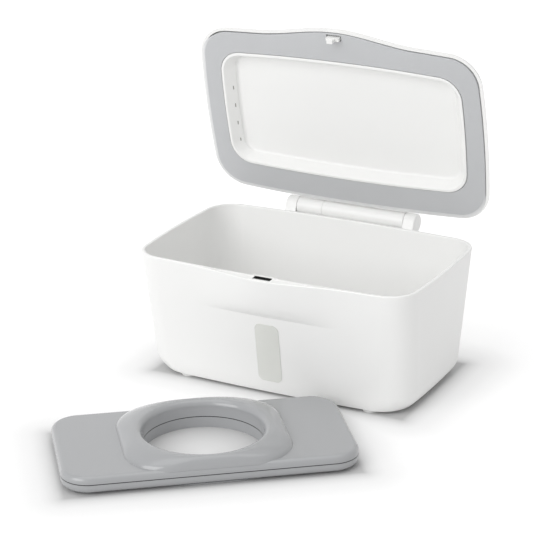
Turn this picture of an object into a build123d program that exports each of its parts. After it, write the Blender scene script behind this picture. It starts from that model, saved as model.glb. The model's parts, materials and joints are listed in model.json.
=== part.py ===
from build123d import *
import math
import os

# Wipes dispenser: a tapered tub with a clear window, a sprung lid that stands open,
# its push-button latch, and a loose weighted plate that lies on the table in front.
# Millimetres, +Z up, the front towards -Y. The origin is on the table, under the middle
# of the whole set as it stands. The lid is drawn as if it were shut on the tub, on a
# frame that carries it to its open place.

os.makedirs("parts", exist_ok=True)

# Tub: outside sizes at the rim, and how the walls lean in below it
rim_half_length = 115.0
rim_half_depth = 73.0
rim_height = 99.6
rim_corner = 23.0
rim_round = 0.8
side_draft = 0.058
front_draft = 0.147
wall = 2.8
floor_thickness = 3.0
underside_gap = 2.4
base_round_height = 13.0
base_round_ends = 7.0
base_round_front = 1.6
base_round_power = 2.4

# Gentle bow of the long and the short sides, shared by the tub and the lid
side_bow_radius = 700.0
front_bow_radius = 1500.0

# Brow: the soft rise at the middle of the front, which fades out down the tub
brow_depth = 7.4
brow_half_width = 66.0
brow_fall = 32.6
brow_lip = 1.8
ledge_depth = 0.8
ledge_end = 50.0

# Window in the tub's front wall
window_width = 17.8
window_height = 43.5
window_corner = 4.6
window_middle_height = 39.0
window_flange = 2.4
window_flange_thickness = 1.2

# Feet, seated in the underside
foot_radius = 6.0
foot_from_end = 38.5
foot_from_front = 24.5
foot_seat_depth = 1.0
foot_round = 0.6

# Gaps between pieces that fit together
seat_gap = 0.1
running_gap = 0.05
seal_gap = 0.4
snap_gap = 0.35

# Hinge: ears on the tub, a barrel on the lid, one steel pin and a coil spring
hinge_behind_rim = 8.0
hinge_above_rim = 2.4
knuckle_radius = 7.4
ear_width = 9.6
ear_inner_x = 46.2
ear_round = 1.2
ear_root_low = 13.6
ear_root_high = 4.1
ear_root_setback = 0.4
knuckle_side_gap = 0.4
hinge_pin_radius = 2.0
hinge_pin_end_wall = 3.0
hinge_web_low = 1.0
hinge_web_high = 5.6
hinge_web_overlap = 3.6
barrel_seam_from_end = 21.8
barrel_seam_width = 0.5
barrel_seam_depth = 0.35
spring_pocket_radius = 5.3
spring_pocket_length = 17.0
spring_wire_radius = 0.45
spring_coil_radius = 3.7
spring_pitch = 1.6
spring_turns = 8
open_angle = 77.4

# Lid: how its edge stands against the tub's rim, its elliptical dome, and what is under it
lid_end_overhang = 4.4
lid_front_setback = 0.3
lid_corner_extra = 4.0
lid_brow_setback = 0.6
shell_edge_step = 0.4
dome_height = 18.0
dome_run = 55.0
dome_corner_fade = 0.6
shell_wall = 2.6
gasket_inset = 3.6
gasket_thickness = 2.2
gasket_round = 0.5
flange_inset = 4.6
flange_thickness = 2.0

# Recessed panel inside the lid, with a raised lip around its mouth
gasket_end_width = 13.8
gasket_front_width = 17.9
mouth_middle_y = -1.3
mouth_corner = 19.0
mouth_lip = 2.4
mouth_proud = 0.6
mouth_round = 0.5
panel_end_slope = 8.5
panel_front_slope = 6.2
panel_corner = 11.0
panel_depth = 9.4
panel_round = 2.4
panel_thickness = 1.6

# Screws under the gasket that hold the panel to the shell
screw_radius = 1.2
screw_head_radius = 2.6
screw_head_height = 1.2
screw_length = 6.6
screw_boss_radius = 3.2
screw_boss_height = 4.6
screw_end_y = 34.0
screw_front_x = 62.0

# Latch: a button on the lid's brow, a hook under it and a steel catch in the tub
slot_behind_brow = 4.8
latch_slot_width = 14.4
latch_slot_depth = 6.2
latch_slot_height = 11.4
latch_boss_width = 20.0
latch_boss_wall = 2.2
latch_boss_height = 15.0
catch_thickness = 0.7
catch_height = 9.6
catch_fold = 0.55
hook_width = 10.6
hook_leg_width = 4.6
hook_thickness = 2.2
hook_reach = 8.0
hook_bar_reach = 3.2
hook_tooth = 0.7
hook_tooth_height = 2.4
hook_hole_side = 0.8
hook_hole_front = 1.3
hook_hole_back = 1.1
button_width = 36.0
button_depth = 12.4
button_behind_edge = 3.7
button_proud = 0.5
button_gap = 0.7
lever_reach = 15.0
pivot_above_flange = 3.1
pivot_barrel_radius = 2.5
pivot_pin_radius = 1.2
pivot_ear_gap = 0.4
pivot_ear_thickness = 2.6
pivot_ear_step = 0.4
pivot_half_width = 9.0
arm_thickness = 1.8
latch_spring_room = 5.0
latch_spring_wire = 0.3
latch_spring_turns = 4
latch_spring_pitch = 0.95

# Loose plate: two shells with a steel weight between them and a round hole
plate_length = 208.0
plate_width = 108.0
plate_corner = 20.0
plate_x = 1.9
plate_from_tub = 94.4
plate_turn = 37.9
plate_underside = 1.6
plate_seam_height = 8.4
plate_top_height = 13.8
plate_edge_round_top = 3.6
plate_edge_round_low = 4.4
plate_hole_margin = 11.0
ring_end_reach = 16.4
ring_side_reach = 10.3
ring_corner = 31.0
ring_root = 1.2
ring_rise = 6.8
ring_crest_width = 5.0
ring_inner_round = 4.6
belly_inset = 0.35
belly_round = 0.55
plate_wall = 2.0
seam_chamfer = 0.4
weight_thickness = 3.0
weight_clearance = 0.6
weight_hole_clearance = 1.4

# Places worked out from the sizes above
hinge_y = rim_half_depth + hinge_behind_rim
hinge_z = rim_height + hinge_above_rim
foot_x = rim_half_length - foot_from_end
foot_y = rim_half_depth - foot_from_front
brow_foot_height = rim_height - brow_fall
floor_low = underside_gap
floor_top = underside_gap + floor_thickness
ledge_height = rim_height - ledge_depth

lid_half_length = rim_half_length + lid_end_overhang
lid_half_depth = rim_half_depth - lid_front_setback
lid_corner = rim_corner + lid_corner_extra
lid_brow_depth = brow_depth - lid_brow_setback
gasket_half_length = lid_half_length - gasket_inset
gasket_half_depth = lid_half_depth - gasket_inset
mouth_half_length = gasket_half_length - gasket_end_width
mouth_half_depth = gasket_half_depth - gasket_front_width
panel_half_length = mouth_half_length - panel_end_slope
panel_half_depth = mouth_half_depth - panel_front_slope
gasket_low = rim_height + seal_gap
gasket_high = gasket_low + gasket_thickness
flange_high = gasket_high + flange_thickness
shell_low = gasket_low + shell_edge_step
mouth_low = gasket_low - mouth_proud
panel_high = gasket_low + panel_depth
screw_end_x = (gasket_half_length + mouth_half_length) / 2
screw_front_y = (gasket_half_depth + mouth_half_depth) / 2

slot_front = slot_behind_brow - rim_half_depth - brow_depth
slot_back = slot_front + latch_slot_depth
slot_y = (slot_front + slot_back) / 2
hook_front = slot_front + catch_thickness + catch_fold + snap_gap + hook_tooth
hook_y = hook_front + hook_thickness / 2
hook_low = gasket_low - hook_reach
hook_hole_low = hook_front - hook_hole_front
hook_hole_high = hook_front + hook_thickness + hook_hole_back
hook_hole_width = hook_width + 2 * hook_hole_side
button_y = button_behind_edge - lid_half_depth
pivot_y = hook_y + lever_reach
pivot_z = flange_high + pivot_above_flange

plate_y = -(rim_half_depth + plate_from_tub)
plate_hole_radius = plate_width / 2 - plate_hole_margin
ring_crest_height = plate_top_height + ring_rise
turn_sin = math.sin(math.radians(plate_turn))
turn_cos = math.cos(math.radians(plate_turn))
plate_reach = ((plate_length / 2 - plate_corner) * turn_sin
               + (plate_width / 2 - plate_corner) * turn_cos + plate_corner)
set_front = plate_reach - plate_y
set_back = hinge_y + knuckle_radius
tub_y = (set_front - set_back) / 2

tub_frame = Plane((0, tub_y, 0))
plate_frame = Plane((plate_x, tub_y + plate_y, 0), x_dir=(turn_cos, turn_sin, 0), z_dir=(0, 0, 1))

open_sin = math.sin(math.radians(open_angle))
open_cos = math.cos(math.radians(open_angle))
lid_origin_y = hinge_y - hinge_y * open_cos - hinge_z * open_sin
lid_origin_z = hinge_z + hinge_y * open_sin - hinge_z * open_cos
lid_frame = Plane((0, tub_y + lid_origin_y, lid_origin_z), x_dir=(1, 0, 0), z_dir=(0, open_sin, open_cos))


def bowed_corner(half_x, half_y, corner):
    """Returns the two ends and the middle of the corner arc between two bowed sides."""
    side_x = half_x - side_bow_radius
    front_y = half_y - front_bow_radius
    side_reach = side_bow_radius - corner
    front_reach = front_bow_radius - corner
    apart = math.hypot(side_x, front_y)
    along = (side_reach ** 2 - front_reach ** 2 + apart ** 2) / (2 * apart)
    across = math.sqrt(side_reach ** 2 - along ** 2)
    unit_x = -side_x / apart
    unit_y = front_y / apart
    centre_x = side_x + along * unit_x - across * unit_y
    centre_y = along * unit_y + across * unit_x
    side_angle = math.atan2(centre_y, centre_x - side_x)
    front_angle = math.atan2(centre_y - front_y, centre_x)
    mid_angle = (side_angle + front_angle) / 2
    side_end = (centre_x + corner * math.cos(side_angle), centre_y + corner * math.sin(side_angle))
    front_end = (centre_x + corner * math.cos(front_angle), centre_y + corner * math.sin(front_angle))
    middle = (centre_x + corner * math.cos(mid_angle), centre_y + corner * math.sin(mid_angle))
    return side_end, middle, front_end


def front_line(x, half_y, brow):
    """Returns the distance of the front edge from the middle at a place along it."""
    bow = front_bow_radius - math.sqrt(front_bow_radius ** 2 - x ** 2)
    rise = math.cos(math.pi * x / (2 * brow_half_width)) ** 2
    return half_y - bow + brow * rise


def outline(half_x, half_y, corner, brow=0.0, middle_y=0.0):
    """Returns a rounded rectangle with bowed sides and a brow at the middle of its front."""
    side_end, corner_mid, front_end = bowed_corner(half_x, half_y, corner)
    span = min(brow_half_width, front_end[0] * 0.9)
    end_y = front_line(span, half_y, 0.0) + brow * math.cos(math.pi * span / (2 * brow_half_width)) ** 2
    slope = span / math.sqrt(front_bow_radius ** 2 - span ** 2)
    steps = [-1.0 + 0.2 * i for i in range(11)]
    brow_points = [(s * span, middle_y - front_line(s * span, half_y, brow)) for s in steps]
    join_x = (front_end[0] + span) / 2
    join_y = middle_y - front_line(join_x, half_y, 0.0)

    def at(point, flip_x, flip_y):
        return (point[0] * flip_x, middle_y + point[1] * flip_y)

    with BuildSketch(Plane.XY) as shape:
        with BuildLine():
            ThreePointArc(at(side_end, 1, -1), (half_x, middle_y), at(side_end, 1, 1))
            ThreePointArc(at(side_end, 1, 1), at(corner_mid, 1, 1), at(front_end, 1, 1))
            ThreePointArc(at(front_end, 1, 1), (0, middle_y + half_y), at(front_end, -1, 1))
            ThreePointArc(at(front_end, -1, 1), at(corner_mid, -1, 1), at(side_end, -1, 1))
            ThreePointArc(at(side_end, -1, 1), (-half_x, middle_y), at(side_end, -1, -1))
            ThreePointArc(at(side_end, -1, -1), at(corner_mid, -1, -1), at(front_end, -1, -1))
            ThreePointArc(at(front_end, -1, -1), (-join_x, join_y), (-span, middle_y - end_y))
            Spline(*brow_points, tangents=[(1, -slope), (1, slope)])
            ThreePointArc((span, middle_y - end_y), (join_x, join_y), at(front_end, 1, -1))
            ThreePointArc(at(front_end, 1, -1), at(corner_mid, 1, -1), at(side_end, 1, -1))
        make_face()
    return shape.sketch


def tub_section(z, inset, base, brow):
    """Returns the tub's outline at a height above its base level, drawn in by inset."""
    down = rim_height - z
    low = max(0.0, base + base_round_height - z) / base_round_height
    round_in = low ** base_round_power
    half_x = rim_half_length - side_draft * down - base_round_ends * round_in - inset
    half_y = rim_half_depth - front_draft * down - base_round_front * round_in - inset
    up = min(1.0, max(0.0, z - brow_foot_height) / (rim_height - rim_round - brow_foot_height))
    return outline(half_x, half_y, rim_corner - inset, brow * math.sin(math.pi / 2 * up))


def dome_section(angle, drop):
    """Returns a level of the lid's dome, and its height; drop is the wall taken off."""
    run_in = (dome_run - drop) * (1 - math.cos(math.radians(angle))) + drop
    height = (dome_height - drop) * math.sin(math.radians(angle))
    share = run_in / dome_run
    corner = lid_corner * (1 - dome_corner_fade * share) - drop
    brow = lid_brow_depth * (1 - share)
    return outline(lid_half_length - run_in, lid_half_depth - run_in, corner, brow), height


def front_face_y(z):
    """Returns the outside of the tub's front wall below the brow, at its middle."""
    return -(rim_half_depth - front_draft * (rim_height - z))


# Tub: a rounded base, plain leaning walls, a browed top and a rounded rim, hollowed by a
# plain cavity whose mouth is rounded too
base_shares = [0.0, 0.1, 0.25, 0.5, 1.0]
brow_shares = [0.0, 0.2, 0.42, 0.68, 1.0]
round_angles = [0, 30, 60, 90]
neck_height = rim_height - rim_round
rim_levels = [(neck_height + rim_round * math.sin(math.radians(angle)),
               rim_round * (1 - math.cos(math.radians(angle)))) for angle in round_angles]
base_levels = [(floor_low + base_round_height * share, 0.0) for share in base_shares]
brow_levels = [(brow_foot_height + (neck_height - brow_foot_height) * share, 0.0) for share in brow_shares]
tub_stages = [base_levels, [base_levels[-1], brow_levels[0]], brow_levels, rim_levels]

hollow_levels = [(floor_top + base_round_height * share, wall) for share in base_shares]
mouth_levels = [(level, wall - inset) for level, inset in rim_levels]
cavity_stages = [hollow_levels, [hollow_levels[-1], mouth_levels[0]], mouth_levels]

front_lean = math.atan(front_draft)
window_plane = Plane((0, tub_y + front_face_y(window_middle_height), window_middle_height),
                     x_dir=(1, 0, 0), z_dir=(0, -math.cos(front_lean), -math.sin(front_lean)))
ledge_steps = [-1.0 + 0.2 * i for i in range(11)]
ledge_points = [(s * ledge_end, -front_line(s * ledge_end, rim_half_depth, brow_depth) + brow_lip)
                for s in ledge_steps]
ear_root_y = rim_half_depth - wall + ear_root_setback
foot_places = {"left": -foot_x, "right": foot_x}
foot_rows = {"front": -foot_y, "rear": foot_y}

# Hinge ear, its outer end rounded; the tub has a mirrored pair
with BuildPart() as hinge_ear:
    with BuildSketch(Plane((ear_inner_x, tub_y, 0), x_dir=(0, 1, 0), z_dir=(1, 0, 0))):
        with BuildLine():
            CenterArc((hinge_y, hinge_z), knuckle_radius, 0, 360)
            Line((ear_root_y, rim_height - ear_root_low), (ear_root_y, rim_height - ear_root_high))
        make_hull()
    extrude(amount=ear_width)
    fillet(hinge_ear.faces().sort_by(Axis.X)[-1].edges(), ear_round)
    with BuildSketch(Plane((ear_inner_x, tub_y, 0), x_dir=(0, 1, 0), z_dir=(1, 0, 0))):
        with Locations((hinge_y, hinge_z)):
            Circle(hinge_pin_radius + running_gap)
    extrude(amount=ear_width - hinge_pin_end_wall, mode=Mode.SUBTRACT)
    mirror(about=Plane.YZ)

with BuildPart() as tub:
    for stage in tub_stages:
        for level, inset in stage:
            with BuildSketch(tub_frame.offset(level)):
                add(tub_section(level, inset, floor_low, brow_depth))
        loft()
    for stage in cavity_stages:
        for level, inset in stage:
            with BuildSketch(tub_frame.offset(level)):
                add(tub_section(level, inset, floor_top, 0.0))
        loft(mode=Mode.SUBTRACT)
    with BuildSketch(tub_frame.offset(rim_height)):
        with BuildLine():
            Spline(*ledge_points)
            Line(ledge_points[-1], ledge_points[0])
        make_face()
    extrude(amount=-ledge_depth, mode=Mode.SUBTRACT)
    with BuildSketch(tub_frame.offset(ledge_height - latch_boss_height)):
        with Locations((0, slot_y + latch_boss_wall / 2)):
            Rectangle(latch_boss_width, latch_slot_depth + latch_boss_wall)
    extrude(amount=latch_boss_height)
    with BuildSketch(tub_frame.offset(rim_height)):
        with Locations((0, slot_y)):
            Rectangle(latch_slot_width, latch_slot_depth)
    extrude(amount=-ledge_depth - latch_slot_height, mode=Mode.SUBTRACT)
    with BuildSketch(window_plane.offset(-2 * wall)):
        RectangleRounded(window_width, window_height, window_corner)
    extrude(amount=4 * wall, mode=Mode.SUBTRACT)
    add(hinge_ear.part)
    for place_x in foot_places.values():
        for place_y in foot_rows.values():
            with BuildSketch(tub_frame.offset(floor_low)):
                with Locations((place_x, place_y)):
                    Circle(foot_radius + seat_gap)
            extrude(amount=foot_seat_depth, mode=Mode.SUBTRACT)
tub.part.label = "tub"
export_step(tub.part, "parts/tub.step")

# Window: a clear insert that lies flush in the front wall, with a flange behind it
with BuildPart() as window:
    with BuildSketch(window_plane.offset(-wall * math.cos(front_lean) - seat_gap)):
        RectangleRounded(window_width - 2 * seat_gap, window_height - 2 * seat_gap,
                         window_corner - seat_gap)
    extrude(amount=wall * math.cos(front_lean) + seat_gap)
    with BuildSketch(window_plane.offset(-wall * math.cos(front_lean) - seat_gap)):
        RectangleRounded(window_width + 2 * window_flange, window_height + 2 * window_flange,
                         window_corner + window_flange)
    extrude(amount=-window_flange_thickness)
window.part.label = "window"
export_step(window.part, "parts/window.step")

# Feet: soft round pads seated in the underside
for row, place_y in foot_rows.items():
    for side, place_x in foot_places.items():
        name = f"foot_{row}_{side}"
        with BuildPart() as foot:
            with BuildSketch(tub_frame):
                with Locations((place_x, place_y)):
                    Circle(foot_radius)
            extrude(amount=floor_low + foot_seat_depth)
            fillet(foot.edges().group_by(Axis.Z)[0], foot_round)
        foot.part.label = name
        export_step(foot.part, f"parts/{name}.step")

# Catch: a folded steel strip in the tub's slot, its lip over the slot's front edge
with BuildPart() as latch_catch:
    with BuildSketch(tub_frame.offset(ledge_height)):
        with Locations((0, slot_front + catch_thickness / 2)):
            Rectangle(latch_slot_width, catch_thickness)
    extrude(amount=-catch_height)
    with BuildSketch(tub_frame.offset(ledge_height)):
        with Locations((0, slot_front + (catch_thickness + catch_fold) / 2)):
            Rectangle(latch_slot_width, catch_thickness + catch_fold)
    extrude(amount=-catch_thickness)
    with BuildSketch(tub_frame.offset(ledge_height - catch_height)):
        with Locations((0, slot_y)):
            Rectangle(latch_slot_width, latch_slot_depth)
    extrude(amount=catch_thickness)
latch_catch.part.label = "latch_catch"
export_step(latch_catch.part, "parts/latch_catch.step")

# Hinge pin, seated at both ends in the ears
pin_half_length = ear_inner_x + ear_width - hinge_pin_end_wall - running_gap
with BuildPart() as hinge_pin:
    with BuildSketch(Plane((-pin_half_length, tub_y + hinge_y, hinge_z), x_dir=(0, 1, 0), z_dir=(1, 0, 0))):
        Circle(hinge_pin_radius)
    extrude(amount=2 * pin_half_length)
hinge_pin.part.label = "hinge_pin"
export_step(hinge_pin.part, "parts/hinge_pin.step")

# Coil spring around the pin, in a pocket at the barrel's left end
spring_start_x = -ear_inner_x + spring_wire_radius + running_gap
with BuildPart() as hinge_spring:
    with BuildLine():
        coil = Helix(spring_pitch, spring_pitch * spring_turns, spring_coil_radius,
                     center=(spring_start_x, tub_y + hinge_y, hinge_z), direction=(1, 0, 0))
    with BuildSketch(Plane(coil @ 0, z_dir=coil % 0)):
        Circle(spring_wire_radius)
    sweep(path=coil, is_frenet=True)
hinge_spring.part.label = "hinge_spring"
export_step(hinge_spring.part, "parts/hinge_spring.step")

# Lid shell: a thin dome with the hinge barrel, screw bosses and the button's opening
dome_angles = [0, 9, 19, 31, 45, 60, 74, 82]
barrel_half_length = ear_inner_x - knuckle_side_gap
barrel_plane = Plane((-barrel_half_length, tub_y + hinge_y, hinge_z), x_dir=(0, 1, 0), z_dir=(1, 0, 0))
web_plane = lid_frame.offset(hinge_z + hinge_web_low)
web_front_y = lid_half_depth - hinge_web_overlap
screw_places = [(side * screw_end_x, end * screw_end_y + mouth_middle_y) for side in (-1, 1) for end in (-1, 1)]
screw_places += [(side * screw_front_x, end * screw_front_y + mouth_middle_y / 2) for side in (-1, 1) for end in (-1, 1)]

with BuildPart() as lid_shell:
    for angle in dome_angles:
        section, height = dome_section(angle, 0.0)
        with BuildSketch(lid_frame.offset(shell_low + height)):
            add(section)
    loft()
    with BuildSketch(web_plane):
        with Locations((0, (web_front_y + hinge_y) / 2)):
            Rectangle(2 * barrel_half_length, hinge_y - web_front_y)
    extrude(amount=hinge_web_high - hinge_web_low)
    for angle in dome_angles:
        section, height = dome_section(angle, shell_wall)
        with BuildSketch(lid_frame.offset(shell_low + height)):
            add(section)
    loft(mode=Mode.SUBTRACT)
    for place in screw_places:
        with BuildSketch(lid_frame.offset(flange_high)):
            with Locations(place):
                Circle(screw_boss_radius)
        extrude(amount=screw_boss_height)
        with BuildSketch(lid_frame.offset(flange_high)):
            with Locations(place):
                Circle(screw_radius + running_gap)
        extrude(amount=screw_length - flange_thickness, mode=Mode.SUBTRACT)
    with BuildSketch(lid_frame.offset(flange_high)):
        with Locations((0, button_y)):
            SlotOverall(button_width, button_depth)
    extrude(amount=2 * dome_height, mode=Mode.SUBTRACT)
    with BuildSketch(barrel_plane):
        Circle(knuckle_radius)
    extrude(amount=2 * barrel_half_length)
    with BuildSketch(barrel_plane):
        Circle(hinge_pin_radius + running_gap)
    extrude(amount=2 * barrel_half_length, mode=Mode.SUBTRACT)
    with BuildSketch(barrel_plane):
        Circle(spring_pocket_radius)
    extrude(amount=spring_pocket_length, mode=Mode.SUBTRACT)
    with BuildSketch(barrel_plane.offset(barrel_seam_from_end)):
        Circle(knuckle_radius)
        Circle(knuckle_radius - barrel_seam_depth, mode=Mode.SUBTRACT)
    extrude(amount=barrel_seam_width, mode=Mode.SUBTRACT)
lid_shell.part.label = "lid_shell"
export_step(lid_shell.part, "parts/lid_shell.step")

# Lid liner: the flange under the shell and the recessed panel with its raised lip
notch_front = -(lid_half_depth + lid_brow_depth)
flange_brow = lid_brow_depth * (1 - 2 * flange_inset / dome_run)
panel_levels = [(panel_high - panel_round + panel_round * math.sin(math.radians(angle)),
                 panel_round * (1 - math.cos(math.radians(angle)))) for angle in round_angles]
pivot_ear_height = pivot_above_flange + pivot_barrel_radius - pivot_ear_step
with BuildPart() as lid_liner:
    with BuildSketch(lid_frame.offset(gasket_high)):
        add(outline(lid_half_length - flange_inset, lid_half_depth - flange_inset,
                    lid_corner - flange_inset, flange_brow))
        with Locations((0, (hook_hole_high + notch_front) / 2)):
            Rectangle(hook_hole_width, hook_hole_high - notch_front, mode=Mode.SUBTRACT)
    extrude(amount=flange_thickness)
    with BuildSketch(lid_frame.offset(mouth_low)):
        add(outline(mouth_half_length, mouth_half_depth, mouth_corner, 0.0, mouth_middle_y))
    with BuildSketch(lid_frame.offset(panel_high + panel_thickness)):
        add(outline(panel_half_length + panel_thickness, panel_half_depth + panel_thickness,
                    panel_corner + panel_thickness, 0.0, mouth_middle_y))
    loft()
    with BuildSketch(lid_frame.offset(mouth_low)):
        add(outline(mouth_half_length - mouth_lip, mouth_half_depth - mouth_lip,
                    mouth_corner - mouth_lip, 0.0, mouth_middle_y))
    with BuildSketch(lid_frame.offset(panel_levels[0][0])):
        add(outline(panel_half_length, panel_half_depth, panel_corner, 0.0, mouth_middle_y))
    loft(mode=Mode.SUBTRACT)
    for level, inset in panel_levels:
        with BuildSketch(lid_frame.offset(level)):
            add(outline(panel_half_length - inset, panel_half_depth - inset, panel_corner - inset, 0.0,
                        mouth_middle_y))
    loft(mode=Mode.SUBTRACT)
    lip_face = lid_liner.faces().sort_by(Axis(lid_frame.origin, lid_frame.z_dir))[0]
    fillet(lip_face.edges(), mouth_round)
    for place in screw_places:
        with BuildSketch(lid_frame.offset(gasket_high)):
            with Locations(place):
                Circle(screw_radius + running_gap)
        extrude(amount=flange_thickness, mode=Mode.SUBTRACT)
        with BuildSketch(lid_frame.offset(gasket_high)):
            with Locations(place):
                Circle(screw_head_radius + running_gap)
        extrude(amount=screw_head_height, mode=Mode.SUBTRACT)
    for side in (-1, 1):
        ear_x = side * (pivot_half_width + pivot_ear_gap)
        with BuildSketch(lid_frame.offset(flange_high)):
            with Locations((ear_x + side * pivot_ear_thickness / 2, pivot_y)):
                Rectangle(pivot_ear_thickness, 2 * pivot_barrel_radius)
        extrude(amount=pivot_ear_height)
    pivot_plane = Plane(lid_frame.from_local_coords(Vector(-2 * pivot_half_width, pivot_y, pivot_z)),
                        x_dir=lid_frame.y_dir, z_dir=(1, 0, 0))
    with BuildSketch(pivot_plane):
        Circle(pivot_pin_radius + running_gap)
    extrude(amount=4 * pivot_half_width, mode=Mode.SUBTRACT)
lid_liner.part.label = "lid_liner"
export_step(lid_liner.part, "parts/lid_liner.step")

# Gasket: the flat soft ring around the panel's mouth, its sealing edges rounded
with BuildPart() as lid_gasket:
    with BuildSketch(lid_frame.offset(gasket_low)):
        add(outline(gasket_half_length, gasket_half_depth, lid_corner - gasket_inset, lid_brow_depth))
        add(outline(mouth_half_length + seat_gap, mouth_half_depth + seat_gap, mouth_corner, 0.0,
                    mouth_middle_y), mode=Mode.SUBTRACT)
    extrude(amount=gasket_thickness)
    seal_face = lid_gasket.faces().sort_by(Axis(lid_frame.origin, lid_frame.z_dir))[0]
    fillet(seal_face.outer_wire().edges(), gasket_round)
    with BuildSketch(lid_frame.offset(gasket_low)):
        with Locations((0, (hook_hole_high + hook_hole_low) / 2)):
            Rectangle(hook_hole_width, hook_hole_high - hook_hole_low)
    extrude(amount=gasket_thickness, mode=Mode.SUBTRACT)
lid_gasket.part.label = "lid_gasket"
export_step(lid_gasket.part, "parts/lid_gasket.step")

# Screws under the gasket, one node of separate solids
with BuildPart() as lid_screws:
    for place in screw_places:
        with BuildSketch(lid_frame.offset(gasket_high)):
            with Locations(place):
                Circle(screw_head_radius)
        extrude(amount=screw_head_height)
        with BuildSketch(lid_frame.offset(gasket_high)):
            with Locations(place):
                Circle(screw_radius)
        extrude(amount=screw_length)
lid_screws.part.label = "lid_screws"
export_step(lid_screws.part, "parts/lid_screws.step")

# Latch hook: pivot barrel, arms, and the hook that reaches down through the gasket
lever_end_x = pivot_half_width - latch_spring_room
arm_low = pivot_z - arm_thickness
lever_plane = Plane(lid_frame.from_local_coords(Vector(-pivot_half_width, pivot_y, pivot_z)),
                    x_dir=lid_frame.y_dir, z_dir=(1, 0, 0))
with BuildPart() as latch_hook:
    with BuildSketch(lid_frame.offset(hook_low)):
        with Locations((0, hook_y)):
            Rectangle(hook_leg_width, hook_thickness)
    extrude(amount=pivot_z - hook_low)
    with BuildSketch(lid_frame.offset(gasket_low - hook_bar_reach)):
        with Locations((0, hook_y)):
            Rectangle(hook_width, hook_thickness)
    extrude(amount=pivot_z - gasket_low + hook_bar_reach)
    with BuildSketch(lid_frame.offset(hook_low)):
        with Locations((0, hook_front - hook_tooth / 2)):
            Rectangle(hook_leg_width, hook_tooth)
    extrude(amount=hook_tooth_height)
    with BuildSketch(lid_frame.offset(arm_low)):
        with Locations(((lever_end_x - pivot_half_width) / 2, (hook_front + pivot_y) / 2)):
            Rectangle(lever_end_x + pivot_half_width, pivot_y - hook_front)
    extrude(amount=arm_thickness)
    with BuildSketch(lever_plane):
        Circle(pivot_barrel_radius)
    extrude(amount=pivot_half_width + lever_end_x)
    with BuildSketch(lever_plane):
        Circle(pivot_pin_radius + running_gap)
    extrude(amount=pivot_half_width + lever_end_x, mode=Mode.SUBTRACT)
latch_hook.part.label = "latch_hook"
export_step(latch_hook.part, "parts/latch_hook.step")

# Button: a cap that follows the dome and stands a little proud of it
with BuildPart() as latch_button:
    for angle in dome_angles:
        section, height = dome_section(angle, 0.0)
        with BuildSketch(lid_frame.offset(shell_low + button_proud + height)):
            add(section)
    loft()
    with BuildSketch(lid_frame.offset(pivot_z)):
        with Locations((0, button_y)):
            SlotOverall(button_width - 2 * button_gap, button_depth - 2 * button_gap)
    extrude(amount=dome_height, mode=Mode.INTERSECT)
latch_button.part.label = "latch_button"
export_step(latch_button.part, "parts/latch_button.step")

# Pivot pin of the latch, and the small coil around it
latch_pin_half = pivot_half_width + pivot_ear_gap + pivot_ear_thickness
pin_plane = Plane(lid_frame.from_local_coords(Vector(-latch_pin_half, pivot_y, pivot_z)),
                  x_dir=lid_frame.y_dir, z_dir=(1, 0, 0))
with BuildPart() as latch_pin:
    with BuildSketch(pin_plane):
        Circle(pivot_pin_radius)
    extrude(amount=2 * latch_pin_half)
latch_pin.part.label = "latch_pin"
export_step(latch_pin.part, "parts/latch_pin.step")

latch_spring_x = lever_end_x + latch_spring_wire + pivot_ear_gap
latch_spring_start = lid_frame.from_local_coords(Vector(latch_spring_x, pivot_y, pivot_z))
with BuildPart() as latch_spring:
    with BuildLine():
        small_coil = Helix(latch_spring_pitch, latch_spring_pitch * latch_spring_turns,
                           pivot_pin_radius + latch_spring_wire + 2 * running_gap,
                           center=latch_spring_start, direction=(1, 0, 0))
    with BuildSketch(Plane(small_coil @ 0, z_dir=small_coil % 0)):
        Circle(latch_spring_wire)
    sweep(path=small_coil, is_frenet=True)
latch_spring.part.label = "latch_spring"
export_step(latch_spring.part, "parts/latch_spring.step")

# Loose plate: a flat rounded slab with a raised ring about its hole, made as two shells
def ring_outline(share):
    """Returns the raised ring's outline, from its squarish root at 0 to its round crest at 1."""
    crest = plate_hole_radius + ring_crest_width
    half_length = plate_hole_radius + ring_end_reach + (ring_crest_width - ring_end_reach) * share
    half_width = plate_hole_radius + ring_side_reach + (ring_crest_width - ring_side_reach) * share
    corner = ring_corner + (crest - seat_gap - ring_corner) * share
    with BuildSketch(Plane.XY) as shape:
        RectangleRounded(2 * half_length, 2 * half_width, corner)
    return shape.sketch


ring_angles = [0, 20, 40, 62, 90]
ring_low = plate_top_height - ring_root
ring_levels = [(ring_low + (ring_crest_height - ring_low) * math.sin(math.radians(angle)),
                1 - math.cos(math.radians(angle))) for angle in ring_angles]

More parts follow.
